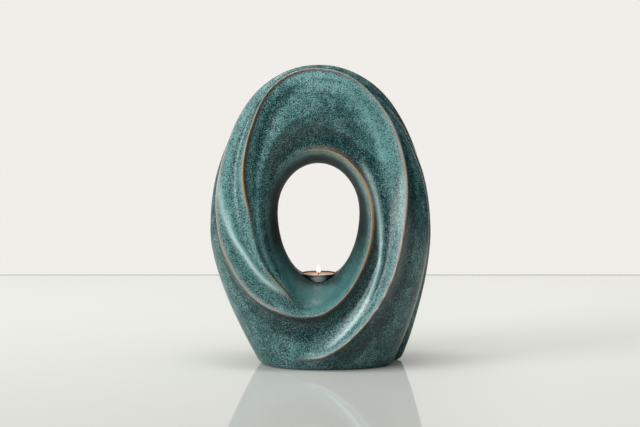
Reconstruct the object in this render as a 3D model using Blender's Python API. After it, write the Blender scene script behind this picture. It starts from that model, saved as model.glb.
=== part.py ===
"""Ring-shaped funeral urn of glazed ceramic, with a candle in the floor of its hole.

The urn is one hollow ceramic ring, taller than wide and deeper at the foot than at the top. Two sharp
ridges and a soft one wind round it, and the back repeats them, turned half way round the upright axis.
It is filled through a round hole in the underside, which a rubber stopper closes.

Metres, +Z up, front towards -Y. The origin is the middle of the box round the urn, at table height.
"""
from math import pi, radians, sqrt

import bmesh
import bpy
import numpy as np
from mathutils import Vector

MM = 0.001

# Ceramic ring
URN_HEIGHT = 327.0 * MM
URN_WIDTH = 242.0 * MM
TOP_DEPTH = 66.0 * MM
FOOT_DEPTH = 110.0 * MM
HOLE_WIDTH = 89.0 * MM
HOLE_HEIGHT = 127.5 * MM
HOLE_FLOOR = 92.5 * MM
HOLE_OFFSET = -2.4 * MM
WALL = 7.0 * MM
FLOOR_WALL = 9.0 * MM
FOOT_ROUNDING = 5.0 * MM
RIDGE_RISE = 16.0 * MM

# Candle and its pocket
CUP_RADIUS = 19.0 * MM
CUP_HEIGHT = 15.5 * MM
CUP_DRAFT = 0.7 * MM
CUP_WALL = 0.5 * MM
CUP_BEAD = 0.5 * MM
CUP_CORNER = 1.5 * MM
POCKET_DEPTH = 9.2 * MM
POCKET_CLEARANCE = 1.2 * MM
WAX_BELOW_RIM = 1.2 * MM
WAX_CORNER = 0.8 * MM
WICK_RADIUS = 0.8 * MM
WICK_HEIGHT = 5.5 * MM

# Fill hole and stopper
FILL_RADIUS = 24.0 * MM
FLANGE_OVERLAP = 4.0 * MM
FLANGE_THICKNESS = 2.4 * MM
FLANGE_RECESS = 0.6 * MM
STOPPER_LENGTH = 15.0 * MM
STOPPER_WALL = 3.0 * MM
STOPPER_TAPER = 0.8 * MM
STOPPER_CHAMFER = 0.8 * MM

# Clearance between pieces that touch
GAP = 0.3 * MM

# Free form of the outline, as shares of the height and the half width
WAIST_SHARE = 0.4447
KEEL_SHARE = 0.7647
HOLE_WAIST_SHARE = 0.5725
PINCH = 0.61
PINCH_SKEW = 0.22
PINCH_POWER = 1.7
LEAN_SHARE = -0.025
HALVES_BLEND = 3.0

# The flat shoulders of the hole's floor, in front of and behind the candle
SHOULDER_RISE = 4.5 * MM
SHOULDER_REACH = 20.0 * MM
SHOULDER_SPREAD = radians(30)

# Ridges: clock angle from the top, clockwise seen from the front; angle round the section, 0 outside,
# 90 in front, 180 at the hole; rise as a share of RIDGE_RISE.
# Flanks: reach towards the hole and towards the outside.
FRONT_RIDGE = [(-152, 125, 0), (-135, 122, .5), (-110, 106, .85), (-84, 97, .9), (-62, 78, .9), (-41, 56, .8),
               (-25, 32, .7), (-9, 18, .6), (11, 18.5, .55), (35, 39, .64), (59, 62, .8), (86, 80, .92),
               (111, 86, .98), (145, 98, .95), (170, 102, .7), (196, 97.5, .3), (218, 81, 0)]
LONG_RIDGE = [(-66, 132, 0), (-40, 124, .35), (-16, 124, .63), (35, 122.5, .8), (70, 119.5, .88),
              (101, 120, .96), (129, 126, 1), (170, 129, 1), (201, 122, 1), (226, 104, 1), (252, 72.5, .88),
              (278, 53, .78), (301, 41, .7), (332, 14, .62), (360, 0, .56)]
SOFT_RIDGE = [(-152, 126, 0), (-135, 123, .3), (-104, 113.5, .56), (-75, 109, .56), (-44, 96, .5),
              (-18, 86.5, .43), (5, 81, .33), (30, 75, 0)]
FRONT_REACH_IN = 9.0 * MM
FRONT_REACH_OUT = 6.0 * MM
FRONT_FLANKS = (FRONT_REACH_IN, FRONT_REACH_OUT)
LONG_REACH_IN = 11.0 * MM
LONG_REACH_OUT = 4.5 * MM
LONG_FLANKS = (LONG_REACH_IN, LONG_REACH_OUT)
SOFT_REACH_IN = 13.0 * MM
SOFT_REACH_OUT = 16.0 * MM
SOFT_FLANKS = (SOFT_REACH_IN, SOFT_REACH_OUT)
CREST_ROUNDING = 0.9 * MM

# Shallow valley down the right side, depth as a share of RIDGE_RISE
VALLEY = [(18, 28, 0), (38, 17, .15), (60, 2, .22), (85, -7, .3), (105, -8, .4), (125, -10, .5),
          (150, -10, .5), (175, -20, 0)]
VALLEY_REACH_FRONT = 14.0 * MM
VALLEY_REACH_BEHIND = 4.0 * MM
VALLEY_FLANKS = (VALLEY_REACH_FRONT, VALLEY_REACH_BEHIND)
VALLEY_ROUNDING = 1.5 * MM

# The right side stands out behind its valley: clock angle and share of the reach, and how many degrees
# behind the outside it begins and ends
LOBE_REACH = 12.0 * MM
REAR_LOBE = [(45, 0), (65, .16), (85, .28), (100, .42), (112, .62), (125, 1), (145, 1), (175, 0)]
LOBE_FRONT = (10, 24)
LOBE_BACK = (45, 85)

# The inner wall follows the ridges softly
INNER_SHARE = 0.4
INNER_ROUNDING = 6.0 * MM
INNER_SPREAD = 3.0 * MM

# Fineness of the faceted solids
OUTER_ROWS, OUTER_COLUMNS = 70, 48
INNER_ROWS, INNER_COLUMNS = 32, 15
ROUND_SIDES = 28
WICK_SIDES = 10
FULL_TURN = 360
ARC_SAMPLES = FULL_TURN + 1
FADE_DEPTH = 20.0 * MM
BURIED_WEIGHT = 0.1
LEAST_SNAPPED_RISE = 0.35
CUT_MARGIN = 5.0 * MM
CUT_TOLERANCE = 0.0001 * MM
MERGE_DISTANCE = 0.001 * MM
SHARP_ANGLE = radians(40)

HALF_WIDTH = URN_WIDTH / 2
WAIST = WAIST_SHARE * URN_HEIGHT
KEEL = KEEL_SHARE * URN_HEIGHT
HOLE_WAIST = HOLE_FLOOR + HOLE_WAIST_SHARE * HOLE_HEIGHT
OUTLINE_TOP = URN_HEIGHT - LONG_RIDGE[-1][2] * RIDGE_RISE
POCKET_RADIUS = CUP_RADIUS + CUP_BEAD + POCKET_CLEARANCE
POCKET_FLOOR = HOLE_FLOOR - POCKET_DEPTH
FLANGE_RADIUS = FILL_RADIUS + FLANGE_OVERLAP
FLANGE_TOP = FLANGE_RECESS + FLANGE_THICKNESS


def clear_scene():
    for obj in list(bpy.data.objects):
        bpy.data.objects.remove(obj, do_unlink=True)


def glossy(name, colour, roughness, metallic=0.0):
    material = bpy.data.materials.new(name)
    material.use_nodes = True
    shader = material.node_tree.nodes["Principled BSDF"]
    shader.inputs["Base Color"].default_value = (*colour, 1.0)
    shader.inputs["Roughness"].default_value = roughness
    shader.inputs["Metallic"].default_value = metallic
    return material


def through(rows, at):
    """Smooth curve through the rows, read at one clock angle: every column after the first."""
    table = np.array(rows, float)
    clock = table[:, 0]
    k = int(np.clip(np.searchsorted(clock, at) - 1, 0, len(clock) - 2))
    span = clock[k + 1] - clock[k]
    u = (at - clock[k]) / span
    slopes = np.gradient(table[:, 1:], clock, axis=0)
    return ((2 * u**3 - 3 * u**2 + 1) * table[k, 1:] + (u**3 - 2 * u**2 + u) * span * slopes[k]
            + (3 * u**2 - 2 * u**3) * table[k + 1, 1:] + (u**3 - u**2) * span * slopes[k + 1])


def crossings(rows, flanks, clock, twin=True):
    """Where one ridge and its twin on the back cross the section at a clock angle from 0 to 360."""
    first, last = rows[0][0], rows[-1][0]
    found = []
    for turn in (-FULL_TURN, 0, FULL_TURN):
        if first <= clock + turn <= last:
            angle, share = through(rows, clock + turn)
            found.append((angle % FULL_TURN, max(share, 0.0), flanks))
        if twin and first <= -clock - turn < last:
            angle, share = through(rows, -clock - turn)
            found.append((-angle % FULL_TURN, max(share, 0.0), flanks[::-1]))
    return found


def ridges_at(clock):
    return (crossings(FRONT_RIDGE, FRONT_FLANKS, clock) + crossings(LONG_RIDGE, LONG_FLANKS, clock)
            + crossings(SOFT_RIDGE, SOFT_FLANKS, clock))


def section_frame(clock):
    """Section at a clock angle in radians: centre x and z, half axis x and z, half depth."""
    s, c = np.sin(clock), np.cos(clock)
    upper = 0.5 + 0.5 * np.tanh(HALVES_BLEND * c)
    hole_x = HOLE_OFFSET + HOLE_WIDTH / 2 * s
    hole_down = HOLE_WAIST_SHARE * HOLE_HEIGHT
    hole_z = HOLE_WAIST + (hole_down + (HOLE_HEIGHT - 2 * hole_down) * upper) * c
    below = max(-c, 0.0)
    pinch = (PINCH - PINCH_SKEW * s) * below ** PINCH_POWER
    outer_x = HALF_WIDTH * (s * (1 - pinch) + LEAN_SHARE * max(c, 0.0) ** 2)
    outer_z = WAIST + (KEEL + (OUTLINE_TOP - WAIST - KEEL) * upper) * c
    half_depth = (TOP_DEPTH * (1 + c) + FOOT_DEPTH * (1 - c)) / 4
    return ((hole_x + outer_x) / 2, (hole_z + outer_z) / 2,
            (outer_x - hole_x) / 2, (outer_z - hole_z) / 2, half_depth)


def section_points(frame, angles):
    x, z, radial_x, radial_z, half_depth = frame
    c, s = np.cos(angles), np.sin(angles)
    return np.stack([x + radial_x * c, -half_depth * s, z + radial_z * c], -1)


def section_normals(frame, angles):
    radial_x, radial_z, half_depth = frame[2:]
    square = radial_x**2 + radial_z**2
    c, s = np.cos(angles), np.sin(angles)
    normals = np.stack([c * radial_x / square, -s / half_depth, c * radial_z / square], -1)
    return normals / np.linalg.norm(normals, axis=-1, keepdims=True)


def flank(distance, reaches, rounding):
    """Falls from 1 on a crest to 0, with its own reach on each side."""
    reach = np.where(distance > 0, reaches[0], reaches[1])
    return np.exp(-(np.sqrt(distance**2 + rounding**2) - rounding) / reach)


def relief(clock, frame, angles, share, rounding, spread):
    """How far ridges, valley and floor shoulders lift the section's points along its normals."""
    degrees_round = np.linspace(0, FULL_TURN, ARC_SAMPLES)
    outline = section_points(frame, np.radians(degrees_round))
    steps = np.linalg.norm(np.diff(outline, axis=0), axis=1)
    run = np.concatenate([[0.0], np.cumsum(steps)])
    here = np.interp(np.degrees(angles) % FULL_TURN, degrees_round, run)

    def distance_to(angle):
        there = np.interp(angle, degrees_round, run)
        return (here - there + run[-1] / 2) % run[-1] - run[-1] / 2

    total = np.zeros(len(angles))
    for angle, rise, flanks in ridges_at(clock):
        reaches = [reach + spread for reach in flanks]
        total += (share * rise * RIDGE_RISE * flank(distance_to(angle), reaches, rounding)) ** 3
    lift = np.cbrt(total)
    for angle, depth, flanks in crossings(VALLEY, VALLEY_FLANKS, clock, twin=False):
        lift -= depth * RIDGE_RISE * flank(distance_to(angle), flanks, VALLEY_ROUNDING)
    along = distance_to(180.0) / SHOULDER_REACH
    near_floor = np.exp(-((radians(clock) - pi) / SHOULDER_SPREAD) ** 4)
    lift += SHOULDER_RISE * near_floor * along**2 * np.exp(1 - along**2)
    base_height = section_points(frame, angles)[:, 2]
    return lift * np.clip(1 + base_height / FADE_DEPTH, 0, 1)


def smooth_step(values, low, high):
    part = np.clip((values - low) / (high - low), 0, 1)
    return part**2 * (3 - 2 * part)


def lobe(clock, frame, angles):
    """How far the rear of the right side stands out sideways."""
    if not REAR_LOBE[0][0] < clock < REAR_LOBE[-1][0]:
        return np.zeros(len(angles))
    behind = (FULL_TURN / 2 - np.degrees(angles)) % FULL_TURN - FULL_TURN / 2
    reach = LOBE_REACH * through(REAR_LOBE, clock)[0] * smooth_step(behind, *LOBE_FRONT)
    base_height = section_points(frame, angles)[:, 2]
    return reach * (1 - smooth_step(behind, *LOBE_BACK)) * np.clip(1 + base_height / FADE_DEPTH, 0, 1)


def lane(travel):
    """Section angle of the line that the long ridge and its twin make in three rounds of the ring."""
    start, start_angle = LONG_RIDGE[0][:2]
    if travel <= FULL_TURN:
        return through(LONG_RIDGE, travel)[0]
    if travel <= 2 * FULL_TURN - start:
        return -through(LONG_RIDGE, 2 * FULL_TURN - travel)[0]
    if travel < 3 * FULL_TURN + start:
        share = (travel - 2 * FULL_TURN + start) / (FULL_TURN + 2 * start)
        return -start_angle + share * (2 * start_angle - FULL_TURN)
    return through(LONG_RIDGE, travel - 3 * FULL_TURN)[0] - FULL_TURN


def winding_angles(clock, frame, columns):
    """Section angles of one row, with columns on the long ridge's three lanes and on the front ridges."""
    lanes = [lane(clock + turn) for turn in (0, FULL_TURN, 2 * FULL_TURN)]
    sweep = lanes[0] - np.linspace(0, FULL_TURN, ARC_SAMPLES)
    points = section_points(frame, np.radians(sweep))
    weight = np.where(points[1:, 2] > -FADE_DEPTH / 2, 1.0, BURIED_WEIGHT)
    run = np.concatenate([[0.0], np.cumsum(weight * np.linalg.norm(np.diff(points, axis=0), axis=1))])

    def run_to(angle):
        return float(np.interp((lanes[0] - angle) % FULL_TURN, lanes[0] - sweep, run))

    third = columns // 3
    known = {0: 0.0, third: run_to(lanes[1]), 2 * third: run_to(lanes[2]), columns: run[-1]}
    on_crest = set()
    for angle, rise, _ in (crossings(FRONT_RIDGE, FRONT_FLANKS, clock)
                           + crossings(VALLEY, VALLEY_FLANKS, clock, twin=False)):
        order = sorted(known)
        column = round(float(np.interp(run_to(angle), [known[k] for k in order], order)))
        if rise > LEAST_SNAPPED_RISE and not any(column + k in known for k in (-1, 0, 1)):
            known[column] = run_to(angle)
            on_crest.add(column)
    order = sorted(known)
    runs = np.interp(np.arange(columns), order, [known[k] for k in order])
    return np.interp(runs, run, sweep), on_crest


def ring_mesh(rows, columns, wall, share, rounding, spread):
    """Closed ring through the sections, set in by the wall; its columns wind a third of a turn per round."""
    bm = bmesh.new()
    grid = []
    crests = []
    for row in range(rows):
        clock = row * FULL_TURN / rows
        frame = section_frame(radians(clock))
        degrees_round, on_crest = winding_angles(clock, frame, columns)
        angles = np.radians(degrees_round)
        lift = relief(clock, frame, angles, share, rounding, spread) - wall
        points = section_points(frame, angles) + section_normals(frame, angles) * lift[:, None]
        points[:, 0] += share * lobe(clock, frame, angles)
        grid.append([bm.verts.new(point) for point in points])
        crests.append(on_crest)
    for row in range(rows):
        after = (row + 1) % rows
        shift = columns // 3 if after == 0 else 0
        for column in range(columns):
            up = (column + 1) % columns
            a, b = grid[row][column], grid[after][(column + shift) % columns]
            c, d = grid[after][(up + shift) % columns], grid[row][up]
            crest_turns_back = up in crests[row] and column in crests[after]
            if crest_turns_back:
                bm.faces.new((a, d, b))
                bm.faces.new((d, c, b))
            else:
                bm.faces.new((a, d, c))
                bm.faces.new((a, c, b))
    return bm


def cut_level(bm, height, clear_below):
    """Cut the bmesh at a height, take away what is below it if asked, and return the edges at the cut."""
    geometry = bm.verts[:] + bm.edges[:] + bm.faces[:]
    cut = bmesh.ops.bisect_plane(bm, geom=geometry, dist=CUT_TOLERANCE, plane_co=(0, 0, height),
                                 plane_no=(0, 0, -1), clear_outer=clear_below)
    return [item for item in cut["geom_cut"] if isinstance(item, bmesh.types.BMEdge)]


def close_flat(bm, rim):
    """Close an open rim with one face, facing out."""
    bmesh.ops.contextual_create(bm, geom=[edge for edge in rim if edge.is_valid])
    bmesh.ops.recalc_face_normals(bm, faces=bm.faces[:])


def round_foot(bm):
    """Cut the ring at the table and turn its edge in there as a quarter round, in a few steps."""
    for height in (FOOT_ROUNDING, FOOT_ROUNDING * (1 - sqrt(0.5))):
        cut_level(bm, height, False)
    rim = cut_level(bm, 0.0, True)
    low = [vert for vert in bm.verts if vert.co.z < FOOT_ROUNDING]
    half_x = (max(vert.co.x for vert in low) - min(vert.co.x for vert in low)) / 2
    middle = foot_middle()
    for vert in low:
        sideways = Vector(((vert.co.x - middle) / half_x**2, vert.co.y / (FOOT_DEPTH / 2) ** 2, 0))
        drop = 1 - max(vert.co.z, 0.0) / FOOT_ROUNDING
        vert.co -= sideways.normalized() * FOOT_ROUNDING * (1 - sqrt(1 - drop**2))
    return rim


def new_object(name, bm, material):
    mesh = bpy.data.meshes.new(name)
    bm.to_mesh(mesh)
    bm.free()
    mesh.materials.append(material)
    mesh.shade_smooth()
    mesh.set_sharp_from_angle(angle=SHARP_ANGLE)
    obj = bpy.data.objects.new(name, mesh)
    bpy.context.scene.collection.objects.link(obj)
    return obj


def turned(name, profile, material, sides=ROUND_SIDES):
    """Solid of revolution about Z; the profile runs from axis to axis as (radius, height)."""
    bm = bmesh.new()
    verts = [bm.verts.new((radius, 0, height)) for radius, height in profile]
    edges = [bm.edges.new(pair) for pair in zip(verts, verts[1:])]
    bmesh.ops.spin(bm, geom=verts + edges, cent=(0, 0, 0), axis=(0, 0, 1), angle=2 * pi,
                   steps=sides, use_merge=True)
    bmesh.ops.remove_doubles(bm, verts=bm.verts[:], dist=MERGE_DISTANCE)
    bmesh.ops.recalc_face_normals(bm, faces=bm.faces[:])
    return new_object(name, bm, material)


def cylinder(name, radius, bottom, top, material, sides=ROUND_SIDES):
    return turned(name, [(0, bottom), (radius, bottom), (radius, top), (0, top)], material, sides)


def combine(obj, cutter, operation="DIFFERENCE"):
    boolean = obj.modifiers.new(cutter.name, "BOOLEAN")
    boolean.operation = operation
    boolean.solver = "EXACT"
    boolean.object = cutter
    cutter.hide_render = True
    cutter.display_type = "WIRE"


def foot_middle():
    """Middle of the foot across, where the outline meets the table on the left and on the right."""
    c = WAIST / KEEL
    s = sqrt(1 - c**2)
    left = -s * (1 - (PINCH + PINCH_SKEW * s) * c**PINCH_POWER)
    right = s * (1 - (PINCH - PINCH_SKEW * s) * c**PINCH_POWER)
    return HALF_WIDTH * (left + right) / 2


def urn_body(glaze):
    outer = ring_mesh(OUTER_ROWS, OUTER_COLUMNS, 0.0, 1.0, CREST_ROUNDING, 0.0)
    close_flat(outer, round_foot(outer))
    body = new_object("urn_body", outer, glaze)

    inner = ring_mesh(INNER_ROWS, INNER_COLUMNS, WALL, INNER_SHARE, INNER_ROUNDING, INNER_SPREAD)
    close_flat(inner, cut_level(inner, FLOOR_WALL, True))
    cavity = new_object("cavity", inner, glaze)
    boss = cylinder("pocket_boss", POCKET_RADIUS + WALL, POCKET_FLOOR - WALL, HOLE_WAIST, glaze)
    boss.location.x = HOLE_OFFSET
    combine(cavity, boss)

    seat_top = FLANGE_TOP + GAP
    fill = turned("fill_hole", [(0, -CUT_MARGIN), (FLANGE_RADIUS + GAP, -CUT_MARGIN),
                                (FLANGE_RADIUS + GAP, seat_top), (FILL_RADIUS, seat_top),
                                (FILL_RADIUS, FLOOR_WALL + CUT_MARGIN), (0, FLOOR_WALL + CUT_MARGIN)], glaze)
    fill.location.x = foot_middle()
    combine(cavity, fill, "UNION")
    combine(body, cavity)

    pocket = cylinder("candle_pocket", POCKET_RADIUS, POCKET_FLOOR, HOLE_WAIST, glaze)
    pocket.location.x = HOLE_OFFSET
    combine(body, pocket)


def base_stopper(rubber):
    sleeve = FILL_RADIUS - GAP
    top = FLANGE_TOP + STOPPER_LENGTH
    rim = STOPPER_CHAMFER
    stopper = turned("base_stopper", [
        (0, FLANGE_RECESS), (FLANGE_RADIUS - rim, FLANGE_RECESS), (FLANGE_RADIUS, FLANGE_RECESS + rim),
        (FLANGE_RADIUS, FLANGE_TOP), (sleeve, FLANGE_TOP), (sleeve - STOPPER_TAPER, top - rim),
        (sleeve - STOPPER_TAPER - rim, top), (sleeve - STOPPER_WALL, top),
        (sleeve - STOPPER_WALL, FLANGE_TOP), (0, FLANGE_TOP)], rubber)
    stopper.location.x = foot_middle()


def tealight(metal, wax_material, cotton):
    base = POCKET_FLOOR + GAP
    rim = base + CUP_HEIGHT
    foot = CUP_RADIUS - CUP_DRAFT
    cup = turned("tealight_cup", [
        (0, base), (foot - CUP_CORNER, base), (foot, base + CUP_CORNER), (CUP_RADIUS, rim - CUP_BEAD),
        (CUP_RADIUS + CUP_BEAD, rim - CUP_BEAD), (CUP_RADIUS + CUP_BEAD, rim), (CUP_RADIUS - CUP_WALL, rim),
        (foot - CUP_WALL, base + CUP_CORNER), (foot - CUP_CORNER, base + CUP_WALL),
        (0, base + CUP_WALL)], metal)
    wax_radius = foot - CUP_WALL - GAP
    wax_base = base + CUP_WALL + GAP
    wax_top = rim - WAX_BELOW_RIM
    wax = turned("tealight_wax", [
        (0, wax_base), (wax_radius - CUP_CORNER, wax_base), (wax_radius, wax_base + CUP_CORNER),
        (wax_radius, wax_top), (wax_radius - WAX_CORNER, wax_top - WAX_CORNER / 2),
        (0, wax_top - WAX_CORNER / 2)], wax_material)
    wick_base = wax_top - WAX_CORNER / 2 + GAP
    wick = cylinder("tealight_wick", WICK_RADIUS, wick_base, wick_base + WICK_HEIGHT, cotton, WICK_SIDES)
    for piece in (cup, wax, wick):
        piece.location.x = HOLE_OFFSET


def main():
    clear_scene()
    urn_body(glossy("teal_glaze", (0.045, 0.150, 0.145), 0.28))
    base_stopper(glossy("dark_rubber", (0.03, 0.03, 0.03), 0.7))
    tealight(glossy("candle_metal", (0.25, 0.25, 0.26), 0.3, 1.0),
             glossy("candle_wax", (0.80, 0.36, 0.24), 0.45),
             glossy("wick_cotton", (0.08, 0.06, 0.05), 0.9))


main()
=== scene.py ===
"""Ring-shaped funeral urn in speckled teal glaze, with a lit candle in the floor of its hole.

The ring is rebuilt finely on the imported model: two sharp ridges and a soft one wind round it, and the back
repeats them, turned half way round the upright axis. Metres, +Z up, front towards -Y.
"""

from math import cos, pi, radians, sin, sqrt

import bmesh
import bpy
import numpy as np
from bpy.props import (FloatProperty, FloatVectorProperty, IntProperty, PointerProperty)
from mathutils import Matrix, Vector
from mathutils.kdtree import KDTree


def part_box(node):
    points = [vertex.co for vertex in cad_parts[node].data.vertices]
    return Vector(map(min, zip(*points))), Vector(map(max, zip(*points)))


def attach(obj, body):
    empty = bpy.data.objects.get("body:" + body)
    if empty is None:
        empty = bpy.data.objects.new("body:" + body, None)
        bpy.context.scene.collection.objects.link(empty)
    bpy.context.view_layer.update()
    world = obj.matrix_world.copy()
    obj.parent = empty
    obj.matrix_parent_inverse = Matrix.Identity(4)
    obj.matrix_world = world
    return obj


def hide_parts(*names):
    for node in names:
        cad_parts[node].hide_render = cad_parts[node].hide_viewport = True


bl_info = {
    "name": "Glazed Ring Urn",
    "version": (1, 0, 0),
    "blender": (4, 5, 0),
    "location": "View3D > Sidebar > Urn",
    "description": "Builds a glazed ring urn with its stopper, candle and studio round a packed model",
    "category": "Add Mesh",
}

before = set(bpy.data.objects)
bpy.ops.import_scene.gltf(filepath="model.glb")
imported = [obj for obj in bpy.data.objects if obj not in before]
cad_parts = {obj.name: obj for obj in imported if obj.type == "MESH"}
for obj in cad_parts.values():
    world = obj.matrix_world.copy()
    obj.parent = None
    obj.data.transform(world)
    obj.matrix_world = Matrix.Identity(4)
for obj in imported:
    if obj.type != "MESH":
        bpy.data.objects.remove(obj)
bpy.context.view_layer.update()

MM = 0.001

# Ceramic ring
URN_HEIGHT = 327.0 * MM
URN_WIDTH = 242.0 * MM
TOP_DEPTH = 66.0 * MM
FOOT_DEPTH = 110.0 * MM
HOLE_WIDTH = 89.0 * MM
HOLE_HEIGHT = 127.5 * MM
HOLE_FLOOR = 92.5 * MM
HOLE_OFFSET = -2.4 * MM
WALL = 7.0 * MM
FLOOR_WALL = 9.0 * MM
FOOT_ROUNDING = 5.0 * MM
RIDGE_RISE = 16.0 * MM
CREST_ROUNDING = 0.9 * MM

# Candle, pocket, fill hole and stopper
CUP_RADIUS = 19.0 * MM
POCKET_DEPTH = 9.2 * MM
POCKET_RADIUS = 20.7 * MM
FILL_RADIUS = 24.0 * MM
FLANGE_RADIUS = 28.0 * MM
FLANGE_RECESS = 0.6 * MM
FLANGE_TOP = 3.0 * MM
STOPPER_LENGTH = 15.0 * MM
STOPPER_WALL = 3.0 * MM
GAP = 0.3 * MM

# Free form of the outline, as shares of the height and the half width
WAIST_SHARE = 0.4447
KEEL_SHARE = 0.7647
HOLE_WAIST_SHARE = 0.5725
PINCH = 0.61
PINCH_SKEW = 0.22
PINCH_POWER = 1.7
LEAN_SHARE = -0.025
HALVES_BLEND = 3.0
SHOULDER_RISE = 4.5 * MM
SHOULDER_REACH = 20.0 * MM
SHOULDER_SPREAD = radians(30)

# Ridges: clock angle from the top, clockwise seen from the front; angle round the section, 0 outside,
# 90 in front, 180 at the hole; rise as a share of RIDGE_RISE.
# Flanks: reach towards the hole and towards the outside.
FRONT_RIDGE = [(-152, 125, 0), (-135, 122, .5), (-110, 106, .85), (-84, 97, .9), (-62, 78, .9), (-41, 56, .8),
               (-25, 32, .7), (-9, 18, .6), (11, 18.5, .55), (35, 39, .64), (59, 62, .8), (86, 80, .92),
               (111, 86, .98), (145, 98, .95), (170, 102, .7), (196, 97.5, .3), (218, 81, 0)]
LONG_RIDGE = [(-66, 132, 0), (-40, 124, .35), (-16, 124, .63), (35, 122.5, .8), (70, 119.5, .88),
              (101, 120, .96), (129, 126, 1), (170, 129, 1), (201, 122, 1), (226, 104, 1), (252, 72.5, .88),
              (278, 53, .78), (301, 41, .7), (332, 14, .62), (360, 0, .56)]
SOFT_RIDGE = [(-152, 126, 0), (-135, 123, .3), (-104, 113.5, .56), (-75, 109, .56), (-44, 96, .5),
              (-18, 86.5, .43), (5, 81, .33), (30, 75, 0)]
FRONT_REACH_IN = 9.0 * MM
FRONT_REACH_OUT = 6.0 * MM
FRONT_FLANKS = (FRONT_REACH_IN, FRONT_REACH_OUT)
LONG_REACH_IN = 11.0 * MM
LONG_REACH_OUT = 4.5 * MM
LONG_FLANKS = (LONG_REACH_IN, LONG_REACH_OUT)
SOFT_REACH_IN = 13.0 * MM
SOFT_REACH_OUT = 16.0 * MM
SOFT_FLANKS = (SOFT_REACH_IN, SOFT_REACH_OUT)
RIGHT_SWELL = [(40, 112, 0), (60, 113, .3), (82, 112, .42), (96, 109.5, .42), (110, 105.5, .38),
               (125, 104.5, .32), (150, 106.5, .2), (175, 106, 0)]
LEFT_SWELL = [(-136, 122, 0), (-124, 111, .35), (-111, 97.5, .46), (-100, 87.5, .45), (-89, 75, .4),
              (-78, 64, .14), (-66, 52, 0), (-50, 39, 0)]
SWELL_FLANKS = (5.0 * MM, 5.0 * MM)
# Nearer to the outside than this many degrees, both flanks of a ridge grow alike, as it passes to its twin
EVEN_WITHIN = 16
VALLEY = [(18, 28, 0), (38, 17, .15), (60, 2, .22), (85, -7, .3), (105, -8, .4), (125, -10, .5),
          (150, -10, .5), (175, -20, 0)]
VALLEY_REACH_FRONT = 14.0 * MM
VALLEY_REACH_BEHIND = 4.0 * MM
VALLEY_FLANKS = (VALLEY_REACH_FRONT, VALLEY_REACH_BEHIND)
VALLEY_ROUNDING = 1.5 * MM

# The right side stands out behind its valley: clock angle and share of the reach, and how many degrees
# behind the outside it begins and ends
LOBE_REACH = 12.0 * MM
REAR_LOBE = [(45, 0), (65, .16), (85, .24), (100, .41), (112, .62), (125, 1), (145, 1), (175, 0)]
LOBE_FRONT = (10, 24)
LOBE_BACK = (45, 85)
LOBE_EDGE = -LOBE_FRONT[1]
LOBE_EDGE_WIDTH = 10.0 * MM

# The chamber's wall follows the ridges only in part, and more softly
INNER_SHARE = 0.4
INNER_ROUNDING = 6.0 * MM
INNER_SPREAD = 3.0 * MM

# How the glaze breaks beside each ridge: clock angle, share of rose, share of copper, and the strength of the
# dark line beside the crest, which is partly the glaze's own colour and partly painted shade; above 0 it lies
# on the side of the hole and below 0 on the outside
FRONT_TINT = [(-152, 0, 0, 0), (-138, 0, .9, .6), (-120, 0, .7, .8), (-102, 0, .1, .3), (-90, .1, .2, .4),
              (-78, .2, .7, .9), (-30, .1, .6, 1), (5, .3, .4, .8), (25, .7, .3, .1), (50, .9, .35, -.7),
              (75, .9, .4, -1), (110, .8, .5, -1), (160, .8, .45, -.9), (218, .4, .3, -.5)]
LONG_TINT = [(-66, 0, 0, 0), (-45, 0, .1, 0), (-10, 0, .5, -.6), (40, 0, 1, -1), (130, 0, 1, -1),
             (185, 0, .6, -1), (215, .4, .25, -.8), (240, 1, .2, -.6), (290, .8, .4, -.6), (330, .3, .3, -.3),
             (350, .2, .2, 0), (360, .2, .2, 0)]
PLAIN_TINT = [(-180, 0, 0, 0), (180, 0, 0, 0)]

# Pale streak along each soft swell, partly thin glaze and partly a painted highlight: clock angle, strength,
# and how far it lies from the swell's crest towards the hole, in mm
RIGHT_STREAK_HIGHLIGHT = [(40, 0, 1.2), (56, .7, 1.2), (72, .9, 1.2), (95, 1, 1.2), (135, 1, 1.2), (155, .8, 1.2),
               (175, 0, 1.2)]
LEFT_STREAK_HIGHLIGHT = [(-136, 0, 0), (-124, .9, 0), (-105, .85, -1), (-89, .9, -3.5), (-76, .6, -5), (-64, 0, -5),
              (-50, 0, -5)]

# Painted light across the dish: a pale band inside the rose line: clock angle and strength
INNER_PAINTED_LIGHT = [(0, 1.4), (50, 2.3), (78, .3), (115, .4), (140, 1.5), (175, 1.5), (360, 1.4)]

# How far each line of the glaze, and of its painted shade and light, lies from its crest towards the hole,
# and how wide it spreads, in mm
COPPER_LINE = (0.0, 1.15)
BROWN_SHADOW_LINE = (2.0, 1.2)
ROSE_LINE = (0.8, 1.3)
PALE_BAND = (5.5, 5.0)
PAINTED_LIGHT_BAND = (14.0, 12.0)
STREAK_WIDTH = 2.2
STREAK_HALO = 5.0
FULL_TINT_RISE = 0.3

# The bore's smooth glaze, darkened in part as painted shade: degrees from the middle of the hole's side, and
# how softly it ends there
BORE_WITHIN, BORE_EDGE = 46, 4
# Noise above the level is a speck; the candle shades the glaze round it from the one reach to the other
SPECK_LEVEL, SPECK_EDGE = 0.515, 0.02
CUP_SHADE = (24 * MM, 46 * MM)
SHADE_DROP = 12 * MM
GLAZE_IOR = 1.42
# A vertex this far off the grid, or this low, is bare clay; a hollow this deep is a full one
OFF_SKIN = 2.5 * MM
UNDERSIDE = 0.35 * MM
HOLLOW_DEPTH = 0.12 * MM
HOLLOW_ROUNDS = 24

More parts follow.
